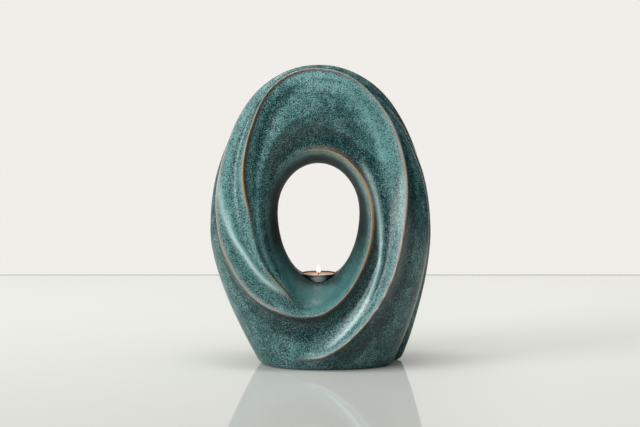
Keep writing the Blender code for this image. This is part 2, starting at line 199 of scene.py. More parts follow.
# Second colours of the small things, and the flame's from bottom to top
DUST = (0.16, 0.155, 0.145)
SOOT = (0.05, 0.045, 0.04)
CHAR = (0.008, 0.006, 0.005)
COTTON = (0.30, 0.20, 0.13)
MELTED_WAX = (0.86, 0.42, 0.20)
# Painted light: the wax glows as if lit through by the flame
WAX_GLOW = (1.0, 0.62, 0.40)
FLAME_STOPS = ((0.0, (0.55, 0.25, 0.12, 1)), (0.4, (1.0, 0.90, 0.62, 1)), (1.0, (1.0, 0.72, 0.30, 1)))
TABLE_ROUGHNESS, TABLE_IOR = 0.04, 1.16

# Soft lights: place, size and colour
KEY_LIGHT = ((-1.5, -0.9, 0.9), (0.8, 1.5), (1.0, 0.985, 0.96))
FILL_LIGHT = ((1.6, -0.8, 0.7), (0.5, 1.0), (0.97, 0.985, 1.0))
TOP_LIGHT = ((-0.1, -0.2, 1.6), (1.0, 0.5), (1.0, 1.0, 1.0))
FLOOR_SIDE, FLOOR_FRONT, FLOOR_THICKNESS = 1.6, -1.5, 0.012

# Fineness
OUTER_ROWS, OUTER_COLUMNS = 420, 204
SKIN_INSET = 0.25 * MM
FOOT_STEPS = (1, 0.72, 0.47, 0.28, 0.13, 0.04)
CUP_STEPS = (0.15, 0.27, 0.39, 0.51, 0.63, 0.75, 0.86)
INNER_ROWS, INNER_COLUMNS = 96, 36
FULL_TURN = 360
ARC_SAMPLES = 2 * FULL_TURN + 1
BURIED_WEIGHT = 0.1
CREST_WEIGHT = 2.2
CREST_REACH = 5.0 * MM
LOBE_WEIGHT = 2.5
FADE_DEPTH = 20.0 * MM
CUT_MARGIN = 5.0 * MM
CUT_TOLERANCE = 0.0001 * MM
MERGE_DISTANCE = 0.001 * MM
ROUND_SIDES = 96

HALF_WIDTH = URN_WIDTH / 2
WAIST = WAIST_SHARE * URN_HEIGHT
KEEL = KEEL_SHARE * URN_HEIGHT
HOLE_WAIST = HOLE_FLOOR + HOLE_WAIST_SHARE * HOLE_HEIGHT
OUTLINE_TOP = URN_HEIGHT - LONG_RIDGE[-1][2] * RIDGE_RISE
POCKET_FLOOR = HOLE_FLOOR - POCKET_DEPTH
# Facings of the glaze; some carry painted light and shade as well as the glaze's own colours
FACINGS = ("crest", "brown_and_shadow", "rose", "pale", "bore", "bloom")


# Sizes and colours that a user would change

def length(name, description, default, **more):
    return FloatProperty(name=name, description=description, default=default, min=0.0, unit="LENGTH",
                         subtype="DISTANCE", precision=5, **more)


def share(name, description, default, top=1.0):
    return FloatProperty(name=name, description=description, default=default, min=0.0, max=top,
                         subtype="FACTOR")


def count(name, description, default, least=0, most=400):
    return IntProperty(name=name, description=description, default=default, min=least, max=most)


def colour(name, description, default):
    return FloatVectorProperty(name=name, description=description, default=default, size=3, min=0.0, max=1.0,
                               subtype="COLOR")


class UrnGlazeSettings(bpy.types.PropertyGroup):
    """Glaze of the ring"""
    # Pale teal also carries painted light: the band across the dish and the halo round each painted highlight
    pale: colour("Pale teal", "Glaze where it lies thin and bright", (0.182, 0.390, 0.392))
    middle: colour("Teal", "Main colour of the glaze", (0.051, 0.178, 0.178))
    deep: colour("Deep green", "Specks, and glaze that pooled in a hollow", (0.002, 0.016, 0.019))
    # Bore: smooth glaze whose darkness is partly painted shade inside the hole
    bore: colour("Bore", "Smooth dark glaze of the wall round the hole", (0.009, 0.027, 0.029))
    copper: colour("Copper", "Line where the glaze breaks on a crest", (0.400, 0.270, 0.160))
    # Dark line beside a crest: partly the glaze's own colour, partly painted shade on the side away from the
    # light
    brown_and_shadow: colour("Brown", "Shadow line outside a crest", (0.070, 0.042, 0.030))
    rose: colour("Rose grey", "Pale bloom beside a crest", (0.400, 0.320, 0.300))
    # Ice blue: partly thin glaze, partly a painted highlight along the swells
    streak: colour("Ice blue", "Pale streak along a soft swell", (0.500, 0.660, 0.670))
    clay: colour("Bare clay", "Unglazed clay of the underside and the ash chamber", (0.520, 0.430, 0.330))
    speck_size: length("Speck size", "Width of one dark speck", 1.0 * MM)
    roughness: share("Roughness", "Roughness of the fired glaze", 0.17)
    ripple_size: length("Ripple size", "Width of the soft waves in the glaze", 9.0 * MM)
    ripple_height: length("Ripple height", "Depth of the soft waves in the glaze", 0.22 * MM)
    seed: count("Seed", "Start of the random waves", 4)


class UrnStopperSettings(bpy.types.PropertyGroup):
    """Stopper of the fill hole"""
    rubber: colour("Rubber", "Rubber of the stopper", (0.026, 0.026, 0.028))
    ribs: count("Sealing ribs", "Soft rings round the sleeve", 3, 1, 8)
    rib_rise: length("Rib rise", "How far a sealing rib stands out", 0.18 * MM)
    grips: count("Grips", "Small bars round the flange's underside", 36, 6, 90)


class UrnCandleSettings(bpy.types.PropertyGroup):
    """Candle in the pocket"""
    wax: colour("Wax", "Wax of the candle", (0.960, 0.620, 0.440))
    metal: colour("Cup", "Metal of the candle's cup", (0.420, 0.422, 0.430))
    wick: colour("Wick", "Burnt cotton of the wick", (0.035, 0.024, 0.018))
    flutes: count("Flutes", "Flutes pressed round the cup", 60, 12, 120)
    flute_depth: length("Flute depth", "Depth of a flute", 0.16 * MM)
    strands: count("Strands", "Strands twisted into the wick", 3, 2, 6)
    twists: FloatProperty(name="Twists", description="Turns of the strands along the wick", default=2.0)
    flame_height: length("Flame height", "Height of the flame", 9.5 * MM)


class UrnStudioSettings(bpy.types.PropertyGroup):
    """Floor, light and camera"""
    floor: colour("Floor", "Pale polished table", (0.735, 0.775, 0.735))
    wall: colour("Background", "Warm white behind the table", (0.880, 0.850, 0.820))
    floor_back: length("Floor behind", "How far the table goes on behind the urn", 0.729)
    camera_distance: length("Camera distance", "Distance in front of the urn", 2.8)
    camera_height: length("Camera height", "Height above the table", 0.4715)
    aim_height: length("Aim height", "Height that the camera looks at", 0.1645)
    lens: FloatProperty(name="Lens", description="Focal length in millimetres", default=145.0,
                        subtype="DISTANCE_CAMERA")
    shift: FloatProperty(name="Shift", description="Sideways shift of the view", default=-0.0012)
    room_left: share("Room, left", "Brightness of the room on the left, as a share of the background", 0.55)
    room_right: share("Room, right", "Brightness of the room on the right, as a share of the background", 0.05)
    ceiling: share("Ceiling", "Brightness added overhead, as a share of the background", 0.9, 2.0)
    mirrored: share("Mirrored room", "Share of the room's brightness that shiny surfaces mirror", 0.45)
    key: FloatProperty(name="Key light", description="Watts of the soft light on the left", default=28.0)
    fill: FloatProperty(name="Fill light", description="Watts of the soft light on the right", default=0.5)
    top: FloatProperty(name="Top light", description="Watts of the soft light above", default=10.5)


# Form of the ring

def through(rows, at):
    """Smooth curve through the rows, read at one clock angle: every column after the first."""
    table = np.array(rows, float)
    clock = table[:, 0]
    k = int(np.clip(np.searchsorted(clock, at) - 1, 0, len(clock) - 2))
    span = clock[k + 1] - clock[k]
    u = (at - clock[k]) / span
    slopes = np.gradient(table[:, 1:], clock, axis=0)
    return ((2 * u**3 - 3 * u**2 + 1) * table[k, 1:] + (u**3 - 2 * u**2 + u) * span * slopes[k]
            + (3 * u**2 - 2 * u**3) * table[k + 1, 1:] + (u**3 - u**2) * span * slopes[k + 1])


def crossings(rows, flanks, clock, tint=PLAIN_TINT, twin=True):
    """Where one ridge and its twin on the back cross the section at a clock angle from 0 to 360.

    Each crossing is angle, share of the rise, flanks, side (+1 in front, -1 on the back) and tint.
    """
    first, last = rows[0][0], rows[-1][0]
    found = []
    for turn in (-FULL_TURN, 0, FULL_TURN):
        for side in ((1, -1) if twin else (1,)):
            at = side * (clock + turn)
            if first <= at < last or side > 0 and at == last:
                angle, rise = through(rows, at)
                found.append((side * angle % FULL_TURN, max(rise, 0.0), flanks[::side], side,
                              through(tint, at)))
    return found


def ridges_at(clock):
    return (crossings(FRONT_RIDGE, FRONT_FLANKS, clock, FRONT_TINT)
            + crossings(LONG_RIDGE, LONG_FLANKS, clock, LONG_TINT)
            + crossings(SOFT_RIDGE, SOFT_FLANKS, clock)
            + crossings(RIGHT_SWELL, SWELL_FLANKS, clock)
            + crossings(LEFT_SWELL, SWELL_FLANKS, clock))


def section_frame(clock):
    """Section at a clock angle in radians: centre x and z, half axis x and z, half depth."""
    s, c = np.sin(clock), np.cos(clock)
    upper = 0.5 + 0.5 * np.tanh(HALVES_BLEND * c)
    hole_x = HOLE_OFFSET + HOLE_WIDTH / 2 * s
    hole_down = HOLE_WAIST_SHARE * HOLE_HEIGHT
    hole_z = HOLE_WAIST + (hole_down + (HOLE_HEIGHT - 2 * hole_down) * upper) * c
    below = max(-c, 0.0)
    pinch = (PINCH - PINCH_SKEW * s) * below ** PINCH_POWER
    outer_x = HALF_WIDTH * (s * (1 - pinch) + LEAN_SHARE * max(c, 0.0) ** 2)
    outer_z = WAIST + (KEEL + (OUTLINE_TOP - WAIST - KEEL) * upper) * c
    half_depth = (TOP_DEPTH * (1 + c) + FOOT_DEPTH * (1 - c)) / 4
    return ((hole_x + outer_x) / 2, (hole_z + outer_z) / 2,
            (outer_x - hole_x) / 2, (outer_z - hole_z) / 2, half_depth)


def section_points(section, angles):
    x, z, radial_x, radial_z, half_depth = section
    c, s = np.cos(angles), np.sin(angles)
    return np.stack([x + radial_x * c, -half_depth * s, z + radial_z * c], -1)


def section_normals(section, angles):
    radial_x, radial_z, half_depth = section[2:]
    square = radial_x**2 + radial_z**2
    c, s = np.cos(angles), np.sin(angles)
    normals = np.stack([c * radial_x / square, -s / half_depth, c * radial_z / square], -1)
    return normals / np.linalg.norm(normals, axis=-1, keepdims=True)


def wrap(values, whole):
    """Bring values into the range from minus half of the whole to plus half."""
    return (values + whole / 2) % whole - whole / 2


def fade(section, angles):
    """Falls from 1 to 0 below the table, where nothing is kept."""
    return np.clip(1 + section_points(section, angles)[:, 2] / FADE_DEPTH, 0, 1)


def flank(distance, reaches, rounding):
    """Falls from 1 on a crest to 0, with its own reach on each side."""
    reach = np.where(distance > 0, reaches[0], reaches[1])
    return np.exp(-(np.sqrt(distance**2 + rounding**2) - rounding) / reach)


def bell(distance, middle, width):
    return np.exp(-((distance - middle) / width) ** 2)


def relief(clock, section, angles, form):
    """How far the section's points are lifted along its normals, how the glaze breaks on them, and where light
    and shade are painted on them.

    The form is share of the ridges, rounding of their crests and spread of their flanks.
    """
    ridge_share, rounding, spread = form
    degrees_round = np.linspace(0, FULL_TURN, ARC_SAMPLES)
    outline = section_points(section, np.radians(degrees_round))
    steps = np.linalg.norm(np.diff(outline, axis=0), axis=1)
    run = np.concatenate([[0.0], np.cumsum(steps)])
    here = np.interp(np.degrees(angles) % FULL_TURN, degrees_round, run)

    def distance_to(angle):
        return wrap(here - np.interp(angle, degrees_round, run), run[-1])

    def mark(name, values):
        facings[name] = np.maximum(facings[name], values)

    dish_light = np.interp(clock, *np.transpose(INNER_PAINTED_LIGHT))
    total = np.zeros(len(angles))
    facings = {name: np.zeros(len(angles)) for name in FACINGS}
    for angle, rise, flanks, side, (rose, copper, brown_and_shadow) in ridges_at(clock):
        distance = distance_to(angle)
        turned = smooth_step(abs(wrap(angle, FULL_TURN)), 0, EVEN_WITHIN)
        even = sum(flanks) / 2
        reaches = [even + (reach - even) * turned + spread for reach in flanks]
        total += (ridge_share * rise * RIDGE_RISE * flank(distance, reaches, rounding)) ** 3
        if max(rose, copper) > 0:
            inward = side * distance / MM
            seen = min(rise / FULL_TINT_RISE, 1.0)
            mark("crest", seen * copper * bell(inward, *COPPER_LINE))
            # Dark line beside the crest: partly the glaze's own colour, partly painted shade
            mark("brown_and_shadow", seen * abs(brown_and_shadow) * bell(inward * np.sign(brown_and_shadow), *BROWN_SHADOW_LINE))
            mark("rose", seen * rose * bell(inward, *ROSE_LINE))
            mark("pale", seen * turned * bell(inward, *PALE_BAND))
            # Painted light: a wide pale band across the dish inside the rose line
            mark("pale", turned * dish_light * rose * bell(inward, *PAINTED_LIGHT_BAND))
    # Pale streaks along the swells: partly thin glaze, partly a painted highlight with a pale painted halo
    for rows, bloom in ((RIGHT_SWELL, RIGHT_STREAK_HIGHLIGHT), (LEFT_SWELL, LEFT_STREAK_HIGHLIGHT)):
        for angle, _, _, side, (streak, off_crest) in crossings(rows, SWELL_FLANKS, clock, bloom):
            inward = side * distance_to(angle) / MM
            mark("bloom", streak * bell(inward, off_crest, STREAK_WIDTH))
            mark("pale", streak * bell(inward, off_crest, STREAK_HALO))
    lift = np.cbrt(total)
    for angle, depth, flanks, _, _ in crossings(VALLEY, VALLEY_FLANKS, clock, twin=False):
        lift -= depth * RIDGE_RISE * flank(distance_to(angle), flanks, VALLEY_ROUNDING)
    along = distance_to(FULL_TURN / 2) / SHOULDER_REACH
    near_floor = np.exp(-((radians(clock) - pi) / SHOULDER_SPREAD) ** 4)
    lift += SHOULDER_RISE * near_floor * along**2 * np.exp(1 - along**2)
    from_bore = np.abs(wrap(np.degrees(angles) - FULL_TURN / 2, FULL_TURN))
    facings["bore"] = 1 / (1 + np.exp((from_bore - BORE_WITHIN) / BORE_EDGE))
    return lift * fade(section, angles), np.stack(list(facings.values()), -1)


def smooth_step(values, low, high):
    part = np.clip((values - low) / (high - low), 0, 1)
    return part**2 * (3 - 2 * part)


def lobe_share(clock):
    return through(REAR_LOBE, clock)[0] if REAR_LOBE[0][0] < clock < REAR_LOBE[-1][0] else 0.0


def lobe(clock, section, angles):
    """How far the rear of the right side stands out sideways."""
    behind = wrap(-np.degrees(angles), FULL_TURN)
    reach = LOBE_REACH * lobe_share(clock) * smooth_step(behind, *LOBE_FRONT)
    return reach * (1 - smooth_step(behind, *LOBE_BACK)) * fade(section, angles)


def lane(travel):
    """Section angle of the line that the long ridge and its twin make in three rounds of the ring."""
    start, start_angle = LONG_RIDGE[0][:2]
    if travel <= FULL_TURN:
        return through(LONG_RIDGE, travel)[0]
    if travel <= 2 * FULL_TURN - start:
        return -through(LONG_RIDGE, 2 * FULL_TURN - travel)[0]
    if travel < 3 * FULL_TURN + start:
        part = (travel - 2 * FULL_TURN + start) / (FULL_TURN + 2 * start)
        return -start_angle + part * (2 * start_angle - FULL_TURN)
    return through(LONG_RIDGE, travel - 3 * FULL_TURN)[0] - FULL_TURN


def winding_angles(clock, section, columns):
    """Section angles of one row: columns stay on the long ridge's three lanes and crowd round crests."""
    lanes = [lane(clock + turn) for turn in (0, FULL_TURN, 2 * FULL_TURN)]
    sweep = lanes[0] - np.linspace(0, FULL_TURN, ARC_SAMPLES)
    points = section_points(section, np.radians(sweep))
    steps = np.linalg.norm(np.diff(points, axis=0), axis=1)
    plain = np.concatenate([[0.0], np.cumsum(steps)])
    weight = np.ones(len(steps))

    def off_from(angle):
        there = np.interp((lanes[0] - angle) % FULL_TURN, lanes[0] - sweep, plain)
        return wrap(plain[1:] - there, plain[-1])

    for angle, rise, _, _, _ in (crossings(FRONT_RIDGE, FRONT_FLANKS, clock)
                                 + crossings(LONG_RIDGE, LONG_FLANKS, clock)
                                 + crossings(VALLEY, VALLEY_FLANKS, clock, twin=False)):
        weight += CREST_WEIGHT * min(rise, 1.0) * np.exp(-np.abs(off_from(angle)) / CREST_REACH)
    weight += LOBE_WEIGHT * lobe_share(clock) * bell(off_from(LOBE_EDGE), 0.0, LOBE_EDGE_WIDTH)
    buried = 1 / (1 + np.exp((points[1:, 2] + FADE_DEPTH / 2) / (2 * MM)))
    weight *= 1 + (BURIED_WEIGHT - 1) * buried
    run = np.concatenate([[0.0], np.cumsum(weight * steps)])
    marks = [np.interp((lanes[0] - angle) % FULL_TURN, lanes[0] - sweep, run) for angle in lanes[1:]]
    third = columns // 3
    runs = np.interp(np.arange(columns), [0, third, 2 * third, columns], [0.0, *marks, run[-1]])
    return np.interp(runs, run, sweep)


def ring_mesh(rows, columns, wall, form):
    """Closed ring through the sections, set in by the wall; its columns wind a third of a turn per round."""
    points, facings = [], []
    for row in range(rows):
        clock = row * FULL_TURN / rows
        section = section_frame(radians(clock))
        angles = np.radians(winding_angles(clock, section, columns))
        lift, facing = relief(clock, section, angles, form)
        row_points = section_points(section, angles)
        row_points += section_normals(section, angles) * (lift - wall)[:, None]
        row_points[:, 0] += form[0] * lobe(clock, section, angles)
        points.append(row_points)
        facings.append(facing)
    faces = []
    for row in range(rows):
        after = (row + 1) % rows
        shift = columns // 3 if after == 0 else 0
        for column in range(columns):
            up = (column + 1) % columns
            faces.append((row * columns + column, row * columns + up,
                          after * columns + (up + shift) % columns,
                          after * columns + (column + shift) % columns))
    bm = bmesh.new()
    verts = [bm.verts.new(point) for point in np.concatenate(points)]
    for face in faces:
        bm.faces.new([verts[index] for index in face])
    return bm, np.concatenate(points), np.concatenate(facings)


def cut_level(bm, height, clear_below):
    """Cut the bmesh at a height, take away what is below it if asked, and return the edges at the cut."""
    geometry = bm.verts[:] + bm.edges[:] + bm.faces[:]
    cut = bmesh.ops.bisect_plane(bm, geom=geometry, dist=CUT_TOLERANCE, plane_co=(0, 0, height),
                                 plane_no=(0, 0, -1), clear_outer=clear_below)
    return [item for item in cut["geom_cut"] if isinstance(item, bmesh.types.BMEdge)]


def close_flat(bm, rim):
    """Close an open rim with one face, facing out."""
    bmesh.ops.contextual_create(bm, geom=[edge for edge in rim if edge.is_valid])
    bmesh.ops.recalc_face_normals(bm, faces=bm.faces[:])


def round_foot(bm):
    """Cut the ring at the table and turn its edge in there as a quarter round, in a few steps."""
    for part in FOOT_STEPS:
        cut_level(bm, FOOT_ROUNDING * part, False)
    rim = cut_level(bm, 0.0, True)
    low = [vert for vert in bm.verts if vert.co.z < FOOT_ROUNDING]
    half_x = (max(vert.co.x for vert in low) - min(vert.co.x for vert in low)) / 2
    middle = foot_middle()
    for vert in low:
        sideways = Vector(((vert.co.x - middle) / half_x**2, vert.co.y / (FOOT_DEPTH / 2) ** 2, 0))
        drop = 1 - max(vert.co.z, 0.0) / FOOT_ROUNDING
        vert.co -= sideways.normalized() * FOOT_ROUNDING * (1 - sqrt(1 - drop**2))
    return rim


def foot_middle():
    """Middle of the foot across, where the outline meets the table on the left and on the right."""
    c = WAIST / KEEL
    s = sqrt(1 - c**2)
    left = -s * (1 - (PINCH + PINCH_SKEW * s) * c**PINCH_POWER)
    right = s * (1 - (PINCH - PINCH_SKEW * s) * c**PINCH_POWER)
    return HALF_WIDTH * (left + right) / 2


# Meshes and objects

def new_object(name, bm, material=None):
    mesh = bpy.data.meshes.new(name)
    bm.to_mesh(mesh)
    bm.free()
    if material:
        mesh.materials.append(material)
    mesh.shade_smooth()
    obj = bpy.data.objects.new(name, mesh)
    bpy.context.scene.collection.objects.link(obj)
    return obj


def turned_mesh(profile, sides=ROUND_SIDES, middle=(0.0, 0.0)):
    """Solid of revolution about an upright axis; the profile is (radius, height) from axis to axis."""
    bm = bmesh.new()
    rings = []
    for radius, height in profile:
        if radius < MERGE_DISTANCE:
            rings.append([bm.verts.new((middle[0], middle[1], height))])
        else:
            rings.append([bm.verts.new((middle[0] + radius * cos(2 * pi * k / sides),
                                        middle[1] + radius * sin(2 * pi * k / sides), height))
                          for k in range(sides)])
    for low, high in zip(rings, rings[1:]):
        for k in range(sides):
            corners = [low[k % len(low)], low[(k + 1) % len(low)],
                       high[(k + 1) % len(high)], high[k % len(high)]]
            corners = [vert for index, vert in enumerate(corners) if vert not in corners[:index]]
            if len(corners) > 2:
                bm.faces.new(corners)
    bmesh.ops.recalc_face_normals(bm, faces=bm.faces[:])
    return bm


def rounded(corners, radius, steps=4):
    """Profile with its inner corners rounded; a corner may give its own radius as a third value."""
    path = []
    for index, corner in enumerate(corners):
        here = np.array(corner[:2], float)
        bend = corner[2] if len(corner) > 2 else radius
        if index in (0, len(corners) - 1) or bend <= 0:
            path.append(tuple(here))
            continue
        back = np.array(corners[index - 1][:2]) - here
        ahead = np.array(corners[index + 1][:2]) - here
        reach = min(bend, np.linalg.norm(back) * 0.45, np.linalg.norm(ahead) * 0.45)
        start = here + back / np.linalg.norm(back) * reach
        end = here + ahead / np.linalg.norm(ahead) * reach
        for step in range(steps + 1):
            u = step / steps
            path.append(tuple((1 - u) ** 2 * start + 2 * u * (1 - u) * here + u**2 * end))
    return path


def subtract(obj, cutter, operation="DIFFERENCE"):
    boolean = obj.modifiers.new(cutter.name, "BOOLEAN")
    boolean.operation = operation
    boolean.solver = "MANIFOLD"
    boolean.object = cutter


def settle(obj):
    """Make what the modifiers give the object's own plain mesh."""
    bpy.context.view_layer.update()
    depsgraph = bpy.context.evaluated_depsgraph_get()
    mesh = bpy.data.meshes.new_from_object(obj.evaluated_get(depsgraph), preserve_all_data_layers=True,
                                           depsgraph=depsgraph)
    obj.modifiers.clear()
    before = obj.data
    obj.data = mesh
    bpy.data.meshes.remove(before)
    mesh.name = obj.name


def finish_piece(obj, slot, *nodes):
    """Let a piece ride on the urn and stand for its nodes; the slot is not used."""
    if not obj.data.polygons:
        raise RuntimeError(f"{obj.name} has no faces")
    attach(obj, "root")
    if nodes:
        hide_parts(*nodes)


# Node trees

class Tree:
    """A node tree that is filled with short calls."""

    def __init__(self, tree):
        self.tree = tree

    def add(self, kind, values=None, **settings):
        node = self.tree.nodes.new(kind)
        for key, value in settings.items():
            setattr(node, key, value)
        self.fill(node, values or {})
        return node

    def fill(self, node, values):
        for key, value in values.items():
            self.put(node.inputs[key], value)

    def put(self, socket, value):
        if isinstance(value, bpy.types.NodeSocket):
            self.tree.links.new(value, socket)
        elif socket.type == "RGBA" and len(value) == 3:
            socket.default_value = (*value, 1.0)
        else:
            socket.default_value = value


def form_tree(name, sizes):
    """Geometry node tree with named sizes; returns it with its group input and group output."""
    group = bpy.data.node_groups.new(name, "GeometryNodeTree")
    group.interface.new_socket(name="Geometry", in_out="INPUT", socket_type="NodeSocketGeometry")
    for label, kind, value in sizes:
        socket = group.interface.new_socket(name=label, in_out="INPUT", socket_type=kind)
        socket.default_value = value
    group.interface.new_socket(name="Geometry", in_out="OUTPUT", socket_type="NodeSocketGeometry")
    tree = Tree(group)
    return tree, tree.add("NodeGroupInput").outputs, tree.add("NodeGroupOutput").inputs


def end_tree(tree, geometry, out, material):
    real = tree.add("GeometryNodeRealizeInstances", {"Geometry": geometry})
    smooth = tree.add("GeometryNodeSetShadeSmooth", {"Geometry": real.outputs[0]})
    coat = tree.add("GeometryNodeSetMaterial", {"Geometry": smooth.outputs[0], "Material": material})
    tree.put(out["Geometry"], coat.outputs[0])


def grow(obj, tree, sizes):
    """Run a geometry node tree on an object with these sizes and keep the result as its mesh."""
    modifier = obj.modifiers.new(tree.tree.name, "NODES")
    modifier.node_group = tree.tree
    for item in tree.tree.interface.items_tree:
        if item.in_out == "INPUT" and item.name in sizes:
            modifier[item.identifier] = sizes[item.name]
    settle(obj)


def maths(tree, operation, *values, clamp=False):
    return tree.add("ShaderNodeMath", dict(enumerate(values)), operation=operation,
                    use_clamp=clamp).outputs[0]


def vectors(tree, operation, *values):
    return tree.add("ShaderNodeVectorMath", dict(enumerate(values)), operation=operation).outputs[0]


def scaled(tree, vector, amount):
    return tree.add("ShaderNodeVectorMath", {"Vector": vector, "Scale": amount}, operation="SCALE").outputs[0]


def reach_of(tree, vector):
    return tree.add("ShaderNodeVectorMath", {"Vector": vector}, operation="LENGTH").outputs["Value"]


def parts(tree, vector):
    return tree.add("ShaderNodeSeparateXYZ", {"Vector": vector}).outputs


def position(tree):
    return tree.add("GeometryNodeInputPosition").outputs[0]


def blend(tree, factor, a, b):
    return tree.add("ShaderNodeMix", {0: factor, 6: a, 7: b}, data_type="RGBA", clamp_factor=True).outputs[2]


def slope(tree, value, low, high, bottom=0.0, top=1.0):
    """Smooth step from bottom at low to top at high."""
    return tree.add("ShaderNodeMapRange", {"Value": value, "From Min": low, "From Max": high, "To Min": bottom,
                                           "To Max": top}, interpolation_type="SMOOTHSTEP").outputs[0]


def noise(tree, place, size, detail=2.0, roughness=0.5, distortion=0.0):
    return tree.add("ShaderNodeTexNoise", {"Vector": place, "Scale": 1 / size, "Detail": detail,
                                           "Roughness": roughness, "Distortion": distortion}).outputs[0]


def dim(colour, part):
    return tuple(part * value for value in colour)


def facing(tree, name):
    return tree.add("ShaderNodeAttribute", attribute_name=name).outputs["Fac"]


def new_material(name):
    material = bpy.data.materials.new(name)
    material.use_nodes = True
    tree = Tree(material.node_tree)
    shader = material.node_tree.nodes["Principled BSDF"]
    place = tree.add("ShaderNodeTexCoord").outputs["Object"]
    return material, tree, shader, place


def raise_by(tree, shader, height, strength, distance):
    bump = tree.add("ShaderNodeBump", {"Height": height, "Strength": strength, "Distance": distance})
    tree.put(shader.inputs["Normal"], bump.outputs[0])


# Materials

def glaze_material(look):
    material, tree, shader, place = new_material("speckled_teal_glaze")
    crest, brown_and_shadow, rose, pale, bore, bloom = (facing(tree, name) for name in FACINGS)
    bare = facing(tree, "bare")
    hollow = facing(tree, "hollow")

    cloud = noise(tree, place, 16 * MM, 3.0, 0.6)
    drift = noise(tree, place, 5 * MM, 2.0, 0.5)
    fine = noise(tree, place, look.speck_size, 2.5, 0.62, 0.6)
    grain = noise(tree, place, look.speck_size * 0.42, 1.0, 0.5)
    mottle = maths(tree, "ADD", maths(tree, "MULTIPLY", fine, 0.72), maths(tree, "MULTIPLY", grain, 0.28))
    drifting = maths(tree, "SUBTRACT", drift, 0.5)

    dense = SPECK_LEVEL
    for cause, more in ((hollow, 0.04), (brown_and_shadow, 0.06), (pale, -0.05), (bloom, -0.06), (drifting, 0.08),
                        (bore, -0.04)):
        dense = maths(tree, "MULTIPLY_ADD", cause, more, dense)
    speck = slope(tree, maths(tree, "SUBTRACT", mottle, dense), -SPECK_EDGE, SPECK_EDGE, 1.0, 0.0)

    # Pale: thin glaze, and also painted light across the dish and round the painted highlights
    bright = maths(tree, "MULTIPLY_ADD", pale, 0.7, slope(tree, cloud, 0.3, 0.7), clamp=True)
    skin = blend(tree, bright, look.middle, look.pale)
    skin = blend(tree, maths(tree, "MULTIPLY", hollow, 0.25), skin, look.middle)
    skin = blend(tree, maths(tree, "MULTIPLY", speck, 0.98), skin, look.deep)

    # Painted shade and light in the bore: it is dark at its top as painted shade, lighter teal towards its
    # floor as painted light, and lies in a painted shadow of the candle round the pocket
    height = parts(tree, place)[2]
    flat = vectors(tree, "MULTIPLY", vectors(tree, "SUBTRACT", place, (HOLE_OFFSET, 0, 0)), (1, 1, 0))
    shaded = maths(tree, "MULTIPLY", slope(tree, reach_of(tree, flat), *CUP_SHADE, 1.0, 0.0),
                   slope(tree, height, HOLE_FLOOR - SHADE_DROP, HOLE_FLOOR))
    # Painted light: lighter towards the hole's floor, darker towards its waist
    pooled = slope(tree, maths(tree, "MULTIPLY_ADD", drift, 30 * MM, height), HOLE_FLOOR, HOLE_WAIST, 1.0, 0.0)
    # Painted shade: the bore's colour dimmed where the hole's wall is in shade
    dark = dim(look.bore, 0.4)
    wall = blend(tree, shaded, blend(tree, pooled, dark, look.middle), dark)
    skin = blend(tree, maths(tree, "MULTIPLY", bore, slope(tree, pooled, 0.0, 1.0, 0.96, 0.74)), skin, wall)

    skin = blend(tree, maths(tree, "MULTIPLY", rose, 0.8), skin, look.rose)
    # Painted highlight along each swell in ice blue, partly thin glaze
    streak_highlight = maths(tree, "MULTIPLY", bloom, slope(tree, mottle, 0.4, 0.6, 0.6, 1.0))
    skin = blend(tree, streak_highlight, skin, look.streak)
    # Dark line beside each crest: partly the glaze's own colour, partly painted shade
    skin = blend(tree, maths(tree, "MULTIPLY", brown_and_shadow, 0.72), skin, look.brown_and_shadow)
    worn = slope(tree, maths(tree, "MULTIPLY_ADD", drifting, 0.5, crest), 0.22, 0.8)
    skin = blend(tree, worn, skin, look.copper)
    grog = noise(tree, place, 0.8 * MM, 3.0, 0.7)
    clay = blend(tree, slope(tree, grog, 0.3, 0.75), dim(look.clay, 0.72), look.clay)

    shine = maths(tree, "MULTIPLY_ADD", speck, 0.06, look.roughness)
    shine = maths(tree, "MULTIPLY_ADD", worn, 0.08, shine)
    shine = maths(tree, "MULTIPLY_ADD", bore, slope(tree, pooled, 0.0, 1.0, 0.4, 0.12), shine)
    tree.fill(shader, {"Base Color": blend(tree, bare, skin, clay), "IOR": GLAZE_IOR,
                       "Roughness": maths(tree, "MULTIPLY_ADD", bare, 0.55, shine, clamp=True)})
    bumps = maths(tree, "MULTIPLY_ADD", speck, -0.6, maths(tree, "MULTIPLY", drift, 0.5))
    raise_by(tree, shader, bumps, 0.35, 0.12 * MM)
    return material


def rubber_material(look):
    material, tree, shader, place = new_material("matt_black_rubber")
    grain = noise(tree, place, 0.5 * MM, 3.0, 0.6)
    dust = slope(tree, noise(tree, place, 7 * MM, 3.0, 0.6), 0.45, 0.75)
    shade = blend(tree, grain, dim(look.rubber, 0.7), dim(look.rubber, 1.3))
    tree.fill(shader, {"Base Color": blend(tree, maths(tree, "MULTIPLY", dust, 0.22), shade, DUST),
                       "Roughness": slope(tree, grain, 0.2, 0.8, 0.55, 0.8)})
    raise_by(tree, shader, grain, 0.3, 0.05 * MM)
    return material


def metal_material(look):
    material, tree, shader, place = new_material("pressed_aluminium")
    brushed = noise(tree, vectors(tree, "MULTIPLY", place, (1.0, 1.0, 14.0)), 2.2 * MM, 3.0, 0.65)
    soot = slope(tree, noise(tree, place, 6 * MM, 3.0, 0.6), 0.45, 0.8)
    shade = blend(tree, brushed, dim(look.metal, 0.75), look.metal)
    tree.fill(shader, {"Base Color": blend(tree, maths(tree, "MULTIPLY", soot, 0.4), shade, SOOT),
                       "Metallic": 1.0, "Roughness": slope(tree, brushed, 0.2, 0.8, 0.2, 0.42)})
    raise_by(tree, shader, brushed, 0.2, 0.05 * MM)
    return material


